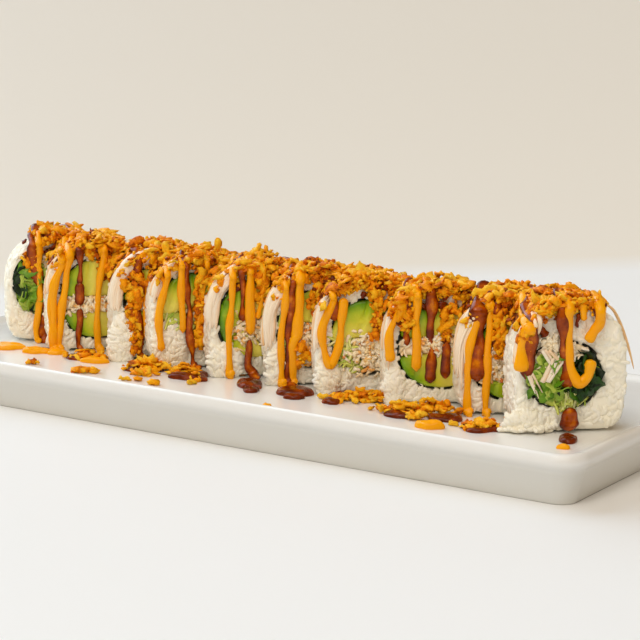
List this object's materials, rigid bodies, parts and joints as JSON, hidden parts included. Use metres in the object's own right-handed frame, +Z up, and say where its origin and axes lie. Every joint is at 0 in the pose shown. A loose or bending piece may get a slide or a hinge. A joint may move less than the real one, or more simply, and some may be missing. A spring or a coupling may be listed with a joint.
{
  "type": "sliced sushi roll on a plate",
  "caption": "Inside-out sushi roll cut into a fanned row of slices on a long rectangular plate, topped with fried crisps, pulled crab and strands of mayonnaise and dark sauce.",
  "frame": {"origin": "middle of the plate's outline, at the height of its foot", "axes": "+X along the plate and the row of slices, +Z up; the cut faces look towards -Y and +X"},
  "size_m": [0.352, 0.162, 0.076],
  "materials": {
    "plate": "glazed white, soft gloss",
    "rice": "moist cooked rice",
    "nori": "dark green-black, slightly shiny",
    "crab": "creamy pulled crab",
    "avocado": "ripe, yellow to green at the skin side",
    "cucumber": "wet pale green",
    "lettuce": "fresh green leaf",
    "topping": "golden fried crisps and glossy sauce"
  },
  "bodies": {
    "root": {"plate": "plate", "rice_1": "rice", "rice_2": "rice", "rice_3": "rice", "rice_4": "rice", "rice_5": "rice", "rice_6": "rice", "rice_7": "rice", "rice_8": "rice", "rice_9": "rice", "rice_10": "rice", "nori_1": "nori", "nori_2": "nori", "nori_3": "nori", "nori_4": "nori", "nori_5": "nori", "nori_6": "nori", "nori_7": "nori", "nori_8": "nori", "nori_9": "nori", "nori_10": "nori", "crab_1": "crab", "crab_2": "crab", "crab_3": "crab", "crab_4": "crab", "crab_5": "crab", "crab_6": "crab", "crab_7": "crab", "crab_8": "crab", "crab_9": "crab", "crab_10": "crab", "avocado_2_lower": "avocado", "avocado_2_upper": "avocado", "avocado_3_lower": "avocado", "avocado_3_upper": "avocado", "avocado_4": "avocado", "avocado_5_lower": "avocado", "avocado_5_upper": "avocado", "avocado_6": "avocado", "avocado_7": "avocado", "avocado_8_lower": "avocado", "avocado_8_upper": "avocado", "avocado_9_lower": "avocado", "avocado_9_upper": "avocado", "cucumber_4": "cucumber", "cucumber_6": "cucumber", "cucumber_7": "cucumber", "cucumber_10": "cucumber", "lettuce_1": "lettuce", "lettuce_10": "lettuce", "topping": "topping"}
  },
  "joints": []
}
